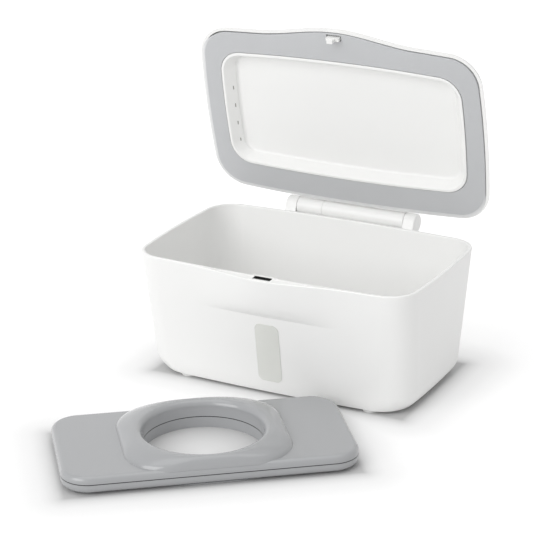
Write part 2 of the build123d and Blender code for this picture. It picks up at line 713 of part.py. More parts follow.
with BuildPart() as plate_upper:
    with BuildSketch(plate_frame.offset(plate_seam_height)):
        RectangleRounded(plate_length, plate_width, plate_corner)
    extrude(amount=plate_top_height - plate_seam_height)
    fillet(plate_upper.edges().group_by(Axis.Z)[-1], plate_edge_round_top)
    for level, share in ring_levels:
        with BuildSketch(plate_frame.offset(level)):
            add(ring_outline(share))
    loft()
    with BuildSketch(plate_frame.offset(plate_seam_height)):
        Circle(plate_hole_radius)
    extrude(amount=ring_crest_height, mode=Mode.SUBTRACT)
    hole_edges = plate_upper.edges().filter_by(GeomType.CIRCLE).group_by(SortBy.RADIUS)[-1]
    fillet(hole_edges.sort_by(Axis.Z)[-1], ring_inner_round)
    chamfer(plate_upper.edges().group_by(Axis.Z)[0], seam_chamfer)
    with BuildSketch(plate_frame.offset(plate_seam_height)):
        RectangleRounded(plate_length - 2 * plate_wall, plate_width - 2 * plate_wall,
                         plate_corner - plate_wall)
        Circle(plate_hole_radius + plate_wall, mode=Mode.SUBTRACT)
    extrude(amount=plate_top_height - plate_seam_height - plate_wall, mode=Mode.SUBTRACT)
plate_upper.part.label = "plate_upper"
export_step(plate_upper.part, "parts/plate_upper.step")

with BuildPart() as plate_lower:
    with BuildSketch(plate_frame.offset(plate_underside)):
        RectangleRounded(plate_length, plate_width, plate_corner)
    extrude(amount=plate_seam_height - plate_underside)
    fillet(plate_lower.edges().group_by(Axis.Z)[0], plate_edge_round_low)
    with BuildSketch(plate_frame):
        add(ring_outline(belly_round))
    with BuildSketch(plate_frame.offset(plate_underside)):
        add(ring_outline(belly_inset))
    loft()
    with BuildSketch(plate_frame):
        Circle(plate_hole_radius)
    extrude(amount=plate_seam_height, mode=Mode.SUBTRACT)
    chamfer(plate_lower.edges().group_by(Axis.Z)[-1], seam_chamfer)
    with BuildSketch(plate_frame.offset(plate_underside + plate_wall)):
        RectangleRounded(plate_length - 2 * plate_wall, plate_width - 2 * plate_wall,
                         plate_corner - plate_wall)
        Circle(plate_hole_radius + plate_wall, mode=Mode.SUBTRACT)
    extrude(amount=plate_seam_height - plate_underside - plate_wall, mode=Mode.SUBTRACT)
plate_lower.part.label = "plate_lower"
export_step(plate_lower.part, "parts/plate_lower.step")

with BuildPart() as plate_weight:
    with BuildSketch(plate_frame.offset(plate_underside + plate_wall)):
        RectangleRounded(plate_length - 2 * (plate_wall + weight_clearance),
                         plate_width - 2 * (plate_wall + weight_clearance),
                         plate_corner - plate_wall - weight_clearance)
        Circle(plate_hole_radius + plate_wall + weight_hole_clearance, mode=Mode.SUBTRACT)
    extrude(amount=weight_thickness)
plate_weight.part.label = "plate_weight"
export_step(plate_weight.part, "parts/plate_weight.step")
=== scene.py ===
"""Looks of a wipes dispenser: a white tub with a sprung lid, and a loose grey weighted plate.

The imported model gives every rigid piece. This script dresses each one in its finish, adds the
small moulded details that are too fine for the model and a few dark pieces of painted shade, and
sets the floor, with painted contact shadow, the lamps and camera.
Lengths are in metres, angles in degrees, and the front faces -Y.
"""

import json
import logging
import math
from dataclasses import dataclass, field
from enum import Enum

import bpy
from mathutils import Matrix, Vector
from mathutils.bvhtree import BVHTree


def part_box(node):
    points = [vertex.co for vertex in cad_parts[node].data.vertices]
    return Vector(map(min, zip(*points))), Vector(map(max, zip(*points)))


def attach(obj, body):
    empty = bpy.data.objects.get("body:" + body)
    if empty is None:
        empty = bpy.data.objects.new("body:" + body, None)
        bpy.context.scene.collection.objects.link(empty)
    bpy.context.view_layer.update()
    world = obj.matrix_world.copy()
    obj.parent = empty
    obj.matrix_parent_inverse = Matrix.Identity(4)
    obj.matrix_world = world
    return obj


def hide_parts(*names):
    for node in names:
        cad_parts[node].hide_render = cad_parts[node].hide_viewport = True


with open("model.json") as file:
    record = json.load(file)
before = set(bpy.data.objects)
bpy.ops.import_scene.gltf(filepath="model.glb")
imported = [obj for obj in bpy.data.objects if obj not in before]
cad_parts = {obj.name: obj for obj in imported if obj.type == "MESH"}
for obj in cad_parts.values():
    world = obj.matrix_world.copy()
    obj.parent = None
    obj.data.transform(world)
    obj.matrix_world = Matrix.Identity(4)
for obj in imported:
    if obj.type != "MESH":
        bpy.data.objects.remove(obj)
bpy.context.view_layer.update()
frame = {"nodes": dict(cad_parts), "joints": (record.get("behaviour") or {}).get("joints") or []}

log = logging.getLogger("dispenser")

# Sizes that more than one class needs
HINGE_BEHIND_TUB = 0.081
PLATE_TURN = 37.9
PLATE_HOLE_RADIUS = 0.043

# How near two corners of loose triangles lie when they are the same corner
SAME_CORNER = 0.000002

Colour = tuple[float, float, float]
Triple = tuple[float, float, float]
Pair = tuple[float, float]


class Body(Enum):
    """The rigid bodies that new pieces ride on."""

    TUB = "tub"
    LID = "lid"
    PLATE = "plate"


class Slot(Enum):
    """The record's material slots that new pieces belong to."""

    WHITE_SHELL = "white_shell"
    CLEAR_WINDOW = "clear_window"
    CATCH_STEEL = "catch_steel"
    GASKET_SILICONE = "gasket_silicone"
    PLATE_GREY = "plate_grey"


class NodeSketch:
    """A node tree, with short calls that add and join its nodes."""

    noise_low: float = 0.3
    noise_high: float = 0.7

    def __init__(self, owner: bpy.types.Material | bpy.types.World, ending: str) -> None:
        """Empties the owner's tree and starts it again with its output node.

        Args:
            owner: The material or the world that the tree belongs to.
            ending: The type of its output node.
        """
        owner.use_nodes = True
        self.owner = owner
        self.tree = owner.node_tree
        self.tree.nodes.clear()
        self.output = self.add(ending)

    @classmethod
    def for_material(cls, name: str) -> "NodeSketch":
        """Makes a material and starts its tree."""
        return cls(bpy.data.materials.new(name), "ShaderNodeOutputMaterial")

    def add(self, kind: str, **settings: object) -> bpy.types.Node:
        """Adds a node.

        Args:
            kind: The node's type.
            settings: Properties to set on the node.

        Returns:
            The new node.
        """
        node = self.tree.nodes.new(kind)
        for key, value in settings.items():
            setattr(node, key, value)
        return node

    def join(self, source: bpy.types.NodeSocket, target: bpy.types.NodeSocket) -> None:
        """Links one socket to another."""
        self.tree.links.new(source, target)

    def finish(self, last: bpy.types.NodeSocket) -> bpy.types.Material | bpy.types.World:
        """Joins the last shader to the output and returns the tree's owner."""
        self.join(last, self.output.inputs["Surface"])
        return self.owner

    def coords(self, kind: str = "Object") -> bpy.types.NodeSocket:
        """Adds the coordinates of one kind and returns their socket."""
        return self.add("ShaderNodeTexCoord").outputs[kind]

    def noise(self, size: float, detail: float = 2.0,
              stretch: Triple = (1.0, 1.0, 1.0)) -> bpy.types.NodeSocket:
        """Adds a noise on object coordinates.

        Args:
            size: The pattern's grain, in metres.
            detail: The number of finer octaves.
            stretch: How much the pattern is squeezed along each axis.

        Returns:
            The noise's value socket.
        """
        mapping = self.add("ShaderNodeMapping")
        mapping.inputs["Scale"].default_value = stretch
        self.join(self.coords(), mapping.inputs["Vector"])
        node = self.add("ShaderNodeTexNoise")
        node.inputs["Scale"].default_value = 1.0 / size
        node.inputs["Detail"].default_value = detail
        self.join(mapping.outputs["Vector"], node.inputs["Vector"])
        return node.outputs["Fac"]

    def between(self, value: bpy.types.NodeSocket, low: float, high: float) -> bpy.types.NodeSocket:
        """Maps a value from the range in which a noise mostly lies to another range.

        Args:
            value: The value to map.
            low: The range's start.
            high: The range's end.

        Returns:
            The mapped value's socket.
        """
        node = self.add("ShaderNodeMapRange")
        node.inputs["From Min"].default_value = self.noise_low
        node.inputs["From Max"].default_value = self.noise_high
        node.inputs["To Min"].default_value = low
        node.inputs["To Max"].default_value = high
        self.join(value, node.inputs["Value"])
        return node.outputs["Result"]

    def tint(self, value: bpy.types.NodeSocket, dark: Colour, light: Colour) -> bpy.types.NodeSocket:
        """Turns a noise into a colour between two near shades.

        Args:
            value: The noise that picks the shade.
            dark: The colour where the noise is low.
            light: The colour where it is high.

        Returns:
            The colour socket.
        """
        ramp = self.add("ShaderNodeValToRGB")
        ramp.color_ramp.elements[0].position = self.noise_low
        ramp.color_ramp.elements[0].color = (*dark, 1.0)
        ramp.color_ramp.elements[1].position = self.noise_high
        ramp.color_ramp.elements[1].color = (*light, 1.0)
        self.join(value, ramp.inputs["Fac"])
        return ramp.outputs["Color"]

    def bump(self, height: bpy.types.NodeSocket, depth: float,
             under: bpy.types.NodeSocket | None = None) -> bpy.types.NodeSocket:
        """Turns a height into a bumped normal.

        Args:
            height: The height pattern.
            depth: The pattern's depth, in metres.
            under: A normal that it is laid on.

        Returns:
            The normal socket.
        """
        node = self.add("ShaderNodeBump")
        node.inputs["Distance"].default_value = depth
        node.inputs["Strength"].default_value = 1.0
        self.join(height, node.inputs["Height"])
        if under is not None:
            self.join(under, node.inputs["Normal"])
        return node.outputs["Normal"]

    def seen(self) -> bpy.types.NodeSocket:
        """Adds a value that is 1 for what the camera sees, straight or through gloss and glass."""
        rays = self.add("ShaderNodeLightPath")
        straight_or_gloss = self.add("ShaderNodeMath", operation="ADD")
        self.join(rays.outputs["Is Camera Ray"], straight_or_gloss.inputs[0])
        self.join(rays.outputs["Is Glossy Ray"], straight_or_gloss.inputs[1])
        seen = self.add("ShaderNodeMath", operation="ADD", use_clamp=True)
        self.join(straight_or_gloss.outputs[0], seen.inputs[0])
        self.join(rays.outputs["Is Transmission Ray"], seen.inputs[1])
        return seen.outputs[0]


def shade(colour: Colour, share: float) -> Colour:
    """Returns a colour made darker or lighter by a share."""
    return (colour[0] * share, colour[1] * share, colour[2] * share)


@dataclass(frozen=True)
class MouldedPlastic:
    """Injection-moulded plastic: an even colour, a soft gloss and a very fine moulded skin."""

    name: str
    colour: Colour
    roughness: float = 0.3
    coat: float = 0.0
    coat_roughness: float = 0.05
    ior: float = 1.48
    tone_spread: float = 0.004
    sink_grain: float = 0.045
    sink_depth: float = 0.000012
    skin_grain: float = 0.0009
    skin_depth: float = 0.0000012

    def make(self) -> bpy.types.Material:
        """Builds the material."""
        sketch = NodeSketch.for_material(self.name)
        surface = sketch.add("ShaderNodeBsdfPrincipled")
        tone = sketch.noise(self.sink_grain, detail=3.0)
        darker = shade(self.colour, 1.0 - self.tone_spread)
        sketch.join(sketch.tint(tone, darker, self.colour), surface.inputs["Base Color"])
        sinks = sketch.bump(sketch.noise(self.sink_grain, detail=1.0), self.sink_depth)
        skin = sketch.bump(sketch.noise(self.skin_grain), self.skin_depth, under=sinks)
        sketch.join(skin, surface.inputs["Normal"])
        surface.inputs["Roughness"].default_value = self.roughness
        surface.inputs["IOR"].default_value = self.ior
        surface.inputs["Coat Weight"].default_value = self.coat
        surface.inputs["Coat Roughness"].default_value = self.coat_roughness
        return sketch.finish(surface.outputs["BSDF"])


@dataclass(frozen=True)
class SoftRubber:
    """Silicone or soft rubber: matt, with a powdery sheen and a faint uneven skin."""

    name: str
    colour: Colour
    roughness: float = 0.5
    sheen: float = 0.15
    sheen_roughness: float = 0.3
    coat: float = 0.0
    coat_roughness: float = 0.22
    ior: float = 1.43
    tone_grain: float = 0.03
    tone_spread: float = 0.015
    gloss_grain: float = 0.012
    gloss_spread: float = 0.06
    swell_grain: float = 0.02
    swell_depth: float = 0.00008
    skin_grain: float = 0.0007
    skin_depth: float = 0.000012
    # Painted highlight: how much paler the thin outer edge is made, and the pale colour it goes towards.
    painted_edge_highlight: float = 0.0
    edge_highlight_colour: Colour = (0.88, 0.88, 0.88)

    def make(self) -> bpy.types.Material:
        """Builds the material."""
        sketch = NodeSketch.for_material(self.name)
        surface = sketch.add("ShaderNodeBsdfPrincipled")
        darker = shade(self.colour, 1.0 - self.tone_spread)
        tone = sketch.tint(sketch.noise(self.tone_grain, detail=4.0), darker, self.colour)
        # Painted highlight along the rubber's thin outer edge.
        if self.painted_edge_highlight > 0.0:
            tone = self.paint_edge_highlight(sketch, tone)
        sketch.join(tone, surface.inputs["Base Color"])
        gloss = sketch.between(sketch.noise(self.gloss_grain, detail=4.0),
                               self.roughness - self.gloss_spread, self.roughness + self.gloss_spread)
        sketch.join(gloss, surface.inputs["Roughness"])
        swell = sketch.bump(sketch.noise(self.swell_grain, detail=1.0), self.swell_depth)
        skin = sketch.bump(sketch.noise(self.skin_grain, detail=3.0), self.skin_depth, under=swell)
        sketch.join(skin, surface.inputs["Normal"])
        surface.inputs["IOR"].default_value = self.ior
        surface.inputs["Sheen Weight"].default_value = self.sheen
        surface.inputs["Sheen Roughness"].default_value = self.sheen_roughness
        surface.inputs["Coat Weight"].default_value = self.coat
        surface.inputs["Coat Roughness"].default_value = self.coat_roughness
        return sketch.finish(surface.outputs["BSDF"])

    def paint_edge_highlight(self, sketch: NodeSketch, tone: bpy.types.NodeSocket) -> bpy.types.NodeSocket:
        """Paints a highlight: makes the rubber paler towards its thin outer edge, as if the white behind
        it shone through.

        Args:
            sketch: The node tree to add it to.
            tone: The colour of the thick rubber.

        Returns:
            The colour socket.
        """
        split = sketch.add("ShaderNodeSeparateXYZ")
        sketch.join(sketch.coords("UV"), split.inputs[0])
        share = sketch.add("ShaderNodeMath", operation="MULTIPLY")
        share.inputs[1].default_value = self.painted_edge_highlight
        sketch.join(split.outputs["X"], share.inputs[0])
        mix = sketch.add("ShaderNodeMix", data_type="RGBA")
        sketch.join(share.outputs[0], mix.inputs[0])
        sketch.join(tone, mix.inputs[6])
        mix.inputs[7].default_value = (*self.edge_highlight_colour, 1.0)
        return mix.outputs[2]


@dataclass(frozen=True)
class ClearPlastic:
    """Clear moulded plastic, a little milky, with faint flow lines."""

    name: str
    colour: Colour
    roughness: float = 0.12
    see_through: float = 0.8
    ior: float = 1.46
    tone_grain: float = 0.02
    tone_spread: float = 0.03
    gloss_grain: float = 0.008
    gloss_spread: float = 0.04
    flow_grain: float = 0.006
    flow_stretch: Triple = (1.0, 1.0, 0.25)
    flow_depth: float = 0.00003

    def make(self) -> bpy.types.Material:
        """Builds the material."""
        sketch = NodeSketch.for_material(self.name)
        surface = sketch.add("ShaderNodeBsdfPrincipled")
        darker = shade(self.colour, 1.0 - self.tone_spread)
        tone = sketch.noise(self.tone_grain, detail=3.0)
        sketch.join(sketch.tint(tone, darker, self.colour), surface.inputs["Base Color"])
        gloss = sketch.between(sketch.noise(self.gloss_grain, detail=3.0),
                               self.roughness - self.gloss_spread, self.roughness + self.gloss_spread)
        sketch.join(gloss, surface.inputs["Roughness"])
        flow = sketch.noise(self.flow_grain, stretch=self.flow_stretch)
        sketch.join(sketch.bump(flow, self.flow_depth), surface.inputs["Normal"])
        surface.inputs["IOR"].default_value = self.ior
        surface.inputs["Transmission Weight"].default_value = self.see_through
        return sketch.finish(surface.outputs["BSDF"])


@dataclass(frozen=True)
class Steel:
    """Drawn or rolled steel, with fine lines along the way it was drawn."""

    name: str
    colour: Colour
    roughness: float = 0.32
    smoother: float = 0.08
    rougher: float = 0.1
    tone_spread: float = 0.15
    line_grain: float = 0.0004
    line_stretch: Triple = (0.05, 1.0, 1.0)
    line_depth: float = 0.00001

    def make(self) -> bpy.types.Material:
        """Builds the material."""
        sketch = NodeSketch.for_material(self.name)
        surface = sketch.add("ShaderNodeBsdfPrincipled")
        lines = sketch.noise(self.line_grain, detail=3.0, stretch=self.line_stretch)
        darker = shade(self.colour, 1.0 - self.tone_spread)
        sketch.join(sketch.tint(lines, darker, self.colour), surface.inputs["Base Color"])
        gloss = sketch.between(lines, self.roughness - self.smoother, self.roughness + self.rougher)
        sketch.join(gloss, surface.inputs["Roughness"])
        sketch.join(sketch.bump(lines, self.line_depth), surface.inputs["Normal"])
        surface.inputs["Metallic"].default_value = 1.0
        return sketch.finish(surface.outputs["BSDF"])


def lid_hinge() -> dict:
    """Returns the lid hinge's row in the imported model's list of joints."""
    return next(joint for joint in frame["joints"] if joint["name"] == "lid_hinge")


def tub_middle() -> float:
    """Returns the tub's middle along Y, which lies in front of the hinge pin."""
    return lid_hinge()["pos_m"][1] - HINGE_BEHIND_TUB


def shut_turn() -> Matrix:
    """Returns the turn about the hinge that carries the lid from its open place to the shut one."""
    hinge = lid_hinge()
    middle = Matrix.Translation(Vector(hinge["pos_m"]))
    angle = math.radians(max(hinge["range_deg"]))
    return middle @ Matrix.Rotation(angle, 4, Vector(hinge["axis"])) @ middle.inverted()


def deselect_all() -> None:
    """Deselects every object, so that an operator acts on one piece alone."""
    for thing in bpy.context.selected_objects:
        thing.select_set(False)


def pick(piece: bpy.types.Object) -> None:
    """Selects one piece alone and makes it the active one."""
    deselect_all()
    piece.select_set(True)
    bpy.context.view_layer.objects.active = piece


def merged_copy(node: str) -> bpy.types.Object:
    """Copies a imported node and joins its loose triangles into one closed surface.

    Args:
        node: The node's name.

    Returns:
        The copy, without a parent.
    """
    mesh = frame["nodes"][node].data.copy()
    piece = bpy.data.objects.new(node + "_copy", mesh)
    bpy.context.scene.collection.objects.link(piece)
    pick(piece)
    bpy.ops.object.mode_set(mode="EDIT")
    bpy.ops.mesh.select_all(action="SELECT")
    bpy.ops.mesh.remove_doubles(threshold=SAME_CORNER)
    bpy.ops.mesh.normals_make_consistent(inside=False)
    bpy.ops.object.mode_set(mode="OBJECT")
    bpy.ops.mesh.customdata_custom_splitnormals_clear()
    return piece


def cut_away(piece: bpy.types.Object, cutter: bpy.types.Object) -> None:
    """Cuts one object out of a piece and deletes the cutter."""
    cut = piece.modifiers.new("cut", "BOOLEAN")
    cut.operation = "DIFFERENCE"
    cut.solver = "EXACT"
    cut.object = cutter
    pick(piece)
    bpy.ops.object.modifier_apply(modifier=cut.name)
    bpy.data.objects.remove(cutter, do_unlink=True)


def rounded_slab(length: float, width: float, depth: float, corner: float,
                 segments: int) -> bpy.types.Object:
    """Makes a flat slab with round corners, its top face at the origin and facing +Z.

    Args:
        length: Its size along X.
        width: Its size along Y.
        depth: How far it goes down.
        corner: Its corner radius.
        segments: The facets of each corner.

    Returns:
        The slab.
    """
    deselect_all()
    bpy.ops.mesh.primitive_plane_add(size=1.0)
    piece = bpy.context.object
    piece.scale = (length, width, 1.0)
    bpy.ops.object.transform_apply(location=True, rotation=True, scale=True)
    bpy.ops.object.mode_set(mode="EDIT")
    bpy.ops.mesh.select_all(action="SELECT")
    bpy.ops.mesh.bevel(offset=corner, offset_type="OFFSET", segments=segments, affect="VERTICES")
    bpy.ops.mesh.select_all(action="SELECT")
    bpy.ops.mesh.extrude_region_move(TRANSFORM_OT_translate={"value": (0.0, 0.0, -depth)})
    bpy.ops.mesh.select_all(action="SELECT")
    bpy.ops.mesh.normals_make_consistent(inside=False)
    bpy.ops.object.mode_set(mode="OBJECT")
    return piece


def smooth(piece: bpy.types.Object, crease: float) -> None:
    """Shades a piece smooth, but keeps the edges that turn by more than the crease angle."""
    pick(piece)
    bpy.ops.object.shade_smooth_by_angle(angle=math.radians(crease))


def dress(node: str, material: bpy.types.Material) -> None:
    """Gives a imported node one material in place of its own.

    Args:
        node: The node's name.
        material: The material.
    """
    mesh = frame["nodes"][node].data
    mesh.materials.clear()
    mesh.materials.append(material)
    log.info("%s: dressed in %s", node, material.name)


def settle(piece: bpy.types.Object, name: str, body: Body,
           material: bpy.types.Material) -> None:
    """Finishes a new piece: its place goes into its mesh, and it gets its name, finish and body.

    Args:
        piece: The piece.
        name: Its name.
        body: The body that it moves with.
        material: Its material.
    """
    pick(piece)
    bpy.ops.object.transform_apply(location=True, rotation=True, scale=True)
    piece.name = name
    piece.data.name = name
    piece.data.materials.clear()
    piece.data.materials.append(material)
    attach(piece, body.value)
    log.info("%s: %d faces, rides on %s", name, len(piece.data.polygons), body.value)


@dataclass
class Tub:
    """The white tub with its window, feet, catch, hinge pin and hinge spring."""

    shell: MouldedPlastic
    window: ClearPlastic
    pads: SoftRubber
    catch: Steel
    pin: Steel
    spring: Steel
    feet: tuple[str, ...] = ("foot_front_left", "foot_front_right", "foot_rear_left", "foot_rear_right")
    rim_half_depth: float = 0.0730
    rim_height: float = 0.0996
    front_draft: float = 0.147
    front_bow_radius: float = 1.5
    skin: float = 0.00004
    brow_depth: float = 0.0074
    brow_half_width: float = 0.0655
    brow_low: float = 0.0670
    brow_high: float = 0.0982
    brow_full: float = 0.0988
    brow_power: float = 6.0
    brow_columns: int = 88
    brow_rows: int = 44
    brow_row_spacing: float = 1.5
    brow_thickness: float = 0.001
    brow_crease: float = 35.0
    window_size: Pair = (0.0196, 0.0482)
    window_height: float = 0.0367
    window_x: float = -0.0002
    window_corner: float = 0.0048
    window_corner_facets: int = 12
    pane_thickness: float = 0.0003
    # Painted shade: a black cup that darkens the inside of the latch slot.
    liner: MouldedPlastic = MouldedPlastic("slot_painted_shade", (0.02, 0.02, 0.02), roughness=0.4)
    slot_width: float = 0.0144
    slot_front: float = -0.0756
    slot_depth: float = 0.0062
    slot_top: float = 0.0986
    slot_bottom: float = 0.0875
    shade_cup_gap: float = 0.00004
    shade_cup_wall: float = 0.00012

    def build(self) -> None:
        """Dresses the tub's nodes, and makes the brow's skin, the black cup of painted shade in the latch
        slot and the window's face.
        """
        shell = self.shell.make()
        pane = self.window.make()
        dress("tub", shell)
        dress("window", pane)
        pads = self.pads.make()
        for foot in self.feet:
            dress(foot, pads)
        dress("latch_catch", self.catch.make())
        dress("hinge_pin", self.pin.make())
        dress("hinge_spring", self.spring.make())
        self.build_brow(shell)
        self.build_window_face(pane)
        self.build_slot_shade()

    def front_wall(self, x: float, z: float) -> float:
        """Returns how far the front wall stands in front of the tub's middle, without the brow."""
        bow = self.front_bow_radius - math.sqrt(self.front_bow_radius ** 2 - x ** 2)
        return self.rim_half_depth - self.front_draft * (self.rim_height - z) - bow

    def build_brow(self, material: bpy.types.Material) -> None:
        """Makes the brow's skin, which swells quickly above its foot, so that its lower edge is shaded."""
        deselect_all()
        bpy.ops.mesh.primitive_grid_add(x_subdivisions=self.brow_columns, y_subdivisions=self.brow_rows,
                                        size=2.0)
        piece = bpy.context.object
        for vertex in piece.data.vertices:
            across = vertex.co.x
            level = (vertex.co.y + 1) / 2
            x = across * self.brow_half_width
            z = self.brow_low + (self.brow_high - self.brow_low) * level ** self.brow_row_spacing
            up = (z - self.brow_low) / (self.brow_full - self.brow_low)
            fade = math.cos(math.pi * across / 2) ** 2
            swell = self.brow_depth * fade * (1 - (1 - up) ** self.brow_power)
            vertex.co = Vector((x, tub_middle() - self.front_wall(x, z) - swell - self.skin, z))
        bpy.ops.object.mode_set(mode="EDIT")
        bpy.ops.mesh.select_all(action="SELECT")
        bpy.ops.mesh.extrude_region_move(TRANSFORM_OT_translate={"value": (0.0, self.brow_thickness, 0.0)})
        bpy.ops.mesh.select_all(action="SELECT")
        bpy.ops.mesh.normals_make_consistent(inside=False)
        bpy.ops.object.mode_set(mode="OBJECT")
        smooth(piece, self.brow_crease)
        settle(piece, "tub_brow", Body.TUB, material)

    def build_slot_shade(self) -> None:
        """Makes the thin black cup that lines the latch slot, painted shade for the slot's dark inside."""
        play = 2 * self.shade_cup_gap
        depth = self.slot_top - self.slot_bottom
        deselect_all()
        bpy.ops.mesh.primitive_cube_add(size=1.0)
        piece = bpy.context.object
        piece.scale = (self.slot_width - play, self.slot_depth - play, depth)
        piece.location = (0.0, tub_middle() + self.slot_front + self.slot_depth / 2,
                          (self.slot_top + self.slot_bottom) / 2)
        bpy.ops.object.transform_apply(location=True, rotation=True, scale=True)
        bpy.ops.object.mode_set(mode="EDIT")
        bpy.ops.mesh.select_all(action="SELECT")
        bpy.ops.mesh.inset(thickness=self.shade_cup_wall, depth=0.0, use_individual=True)
        bpy.ops.mesh.select_mode(type="FACE")
        bpy.ops.mesh.select_all(action="DESELECT")
        bpy.ops.object.mode_set(mode="OBJECT")
        opening = max(piece.data.polygons, key=lambda face: face.normal.z * face.area)
        opening.select = True
        bpy.ops.object.mode_set(mode="EDIT")
        bpy.ops.mesh.extrude_region_move(
            TRANSFORM_OT_translate={"value": (0.0, 0.0, self.shade_cup_wall - depth)})
        bpy.ops.object.mode_set(mode="OBJECT")
        settle(piece, "latch_slot_painted_shade", Body.TUB, self.liner.make())

    def build_window_face(self, material: bpy.types.Material) -> None:
        """Makes the window's outer face, which lies on the front wall round the opening."""
        lean = math.atan(self.front_draft)
        piece = rounded_slab(*self.window_size, self.pane_thickness, self.window_corner,
                             self.window_corner_facets)
        y = tub_middle() - self.front_wall(self.window_x, self.window_height)
        place = Vector((self.window_x, y, self.window_height))
        out = Vector((0.0, -math.cos(lean), -math.sin(lean)))
        shift = Matrix.Translation(place + out * (self.pane_thickness + self.skin))
        piece.data.transform(shift @ Matrix.Rotation(math.pi / 2 + lean, 4, "X"))
        settle(piece, "window_face", Body.TUB, material)


@dataclass
class Lid:
    """The lid's shell, its recessed panel, the gasket and the screws."""

    shell: MouldedPlastic
    panel: MouldedPlastic
    gasket: SoftRubber
    screws: Steel
    half_length: float = 0.119
    half_depth: float = 0.075
    rim_low: float = 0.1004
    shell_crease: float = 28.0
    cut_length: float = 0.30
    cut_front: float = -0.100
    cut_back: float = 0.0728
    cut_margin: float = 0.002
    cut_from: float = -0.050
    cut_to: float = 0.111
    gasket_low: float = 0.1000
    gasket_high: float = 0.1022
    gasket_inset: float = 0.0036
    gasket_crease: float = 30.0
    hook_hole: Triple = (0.0064, -0.0749, -0.0697)
    side_slope: float = 0.25
    puffed_side: Pair = (-0.45, 0.89)
    puff_from: float = -0.60
    puff_to: float = 0.40
    edge_inset: float = 0.0001
    old_round: float = 0.0005
    round_width: float = 0.0070
    round_depth: float = 0.0020
    level_play: float = 0.00001
    # Painted shade: the marks are flat dark slabs, set a hair proud of the wall, for the shade inside
    # small slots.
    slot_shade_finish: MouldedPlastic = MouldedPlastic("painted_slot_shade", (0.34, 0.33, 0.31), roughness=0.5)
    mark_places: tuple[float, ...] = (0.030, 0.015, -0.0005, -0.016)
    mark_height: float = 0.1048
    mark_length: float = 0.0032
    mark_width: float = 0.0009
    mark_depth: float = 0.0006
    mark_proud: float = 0.00005
    mark_corner_share: float = 0.45
    mark_corner_facets: int = 5

    def build(self) -> None:
        """Dresses the lid's nodes, and makes its rim and gasket again and the dark marks of painted slot
        shade in its recess.
        """
        shell = self.shell.make()
        dress("lid_shell", shell)
        dress("lid_liner", self.panel.make())
        rubber = self.gasket.make()
        dress("lid_gasket", rubber)
        dress("lid_screws", self.screws.make())
        self.build_shell(shell)
        self.build_gasket(rubber)
        self.build_marks()

    def facing(self, x: float, y: float) -> float:
        """Returns how far a place or a direction lies towards the puffed side."""
        return x * self.puffed_side[0] + y * self.puffed_side[1]

    def build_shell(self, material: bpy.types.Material) -> None:
        """Makes the shell again, with its rim cut back on the puffed side to show the gasket's edge."""
        piece = merged_copy("lid_shell")
        turn = shut_turn()
        piece.data.transform(turn)
        bpy.ops.mesh.primitive_cube_add(size=1.0)
        cutter = bpy.context.object
        for vertex in cutter.data.vertices:
            x = vertex.co.x * self.cut_length
            y = (self.cut_front + self.cut_back) / 2 + vertex.co.y * (self.cut_back - self.cut_front)
            level = self.gasket_low - self.cut_margin
            if vertex.co.z > 0:
                share = (self.facing(x, y) - self.cut_from) / (self.cut_to - self.cut_from)
                level = self.rim_low + (self.gasket_high - self.rim_low) * share
            vertex.co = Vector((x, tub_middle() + y, level))
        cut_away(piece, cutter)
        piece.data.transform(turn.inverted())
        smooth(piece, self.shell_crease)
        settle(piece, "lid_shell_body", Body.LID, material)
        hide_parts("lid_shell")

    def build_marks(self) -> None:
        """Makes flat dark marks on the left end wall of the lid's recess, painted shade that stands for
        small slots there.
        """
        turn = shut_turn()
        material = self.slot_shade_finish.make()
        liner = frame["nodes"]["lid_liner"].data.copy()
        liner.transform(turn)
        corners = [vertex.co for vertex in liner.vertices]
        wall = BVHTree.FromPolygons(corners, [tuple(face.vertices) for face in liner.polygons])
        bpy.data.meshes.remove(liner)
        along = Vector((0.0, 1.0, 0.0))
        for number, y in enumerate(self.mark_places, start=1):
            start = Vector((0.0, tub_middle() + y, self.mark_height))
            place, normal, _, _ = wall.ray_cast(start, Vector((-1.0, 0.0, 0.0)))
            if normal.x < 0:
                normal.negate()
            piece = rounded_slab(self.mark_length, self.mark_width, self.mark_depth,
                                 self.mark_width * self.mark_corner_share, self.mark_corner_facets)
            across = normal.cross(along).normalized()
            axes = Matrix((along, across, normal)).transposed().to_4x4()
            lift = Matrix.Translation(place + normal * self.mark_proud)
            piece.data.transform(turn.inverted() @ lift @ axes)
            settle(piece, f"recess_slot_shade_{number}", Body.LID, material)

    def gasket_sides(self, piece: bpy.types.Object) -> dict[int, Vector]:
        """Finds the points on the gasket's outer side.

        Args:
            piece: The gasket, in its shut place.

        Returns:
            The level way out at each of them, by the point's number.
        """
        half_width, hole_low, hole_high = self.hook_hole
        outward: dict[int, Vector] = {}
        for face in piece.data.polygons:
            flat = Vector((face.normal.x, face.normal.y, 0.0))
            x = face.center.x
            y = face.center.y - tub_middle()
            in_hole = abs(x) < half_width and hole_low < y < hole_high
            faces_out = flat.x * x / self.half_length ** 2 + flat.y * y / self.half_depth ** 2 > 0
            if flat.length < self.side_slope or in_hole or not faces_out:
                continue
            for index in face.vertices:
                outward[index] = outward.get(index, Vector((0.0, 0.0, 0.0))) + flat * face.area
        for out in outward.values():
            out.normalize()
        return outward

    def puff_share(self, out: Vector) -> float:
        """Returns how much the gasket's edge is puffed where it faces one way, from 0 to 1."""
        share = (self.facing(out.x, out.y) - self.puff_from) / (self.puff_to - self.puff_from)
        share = min(max(share, 0.0), 1.0)
        return share * share * (3 - 2 * share)

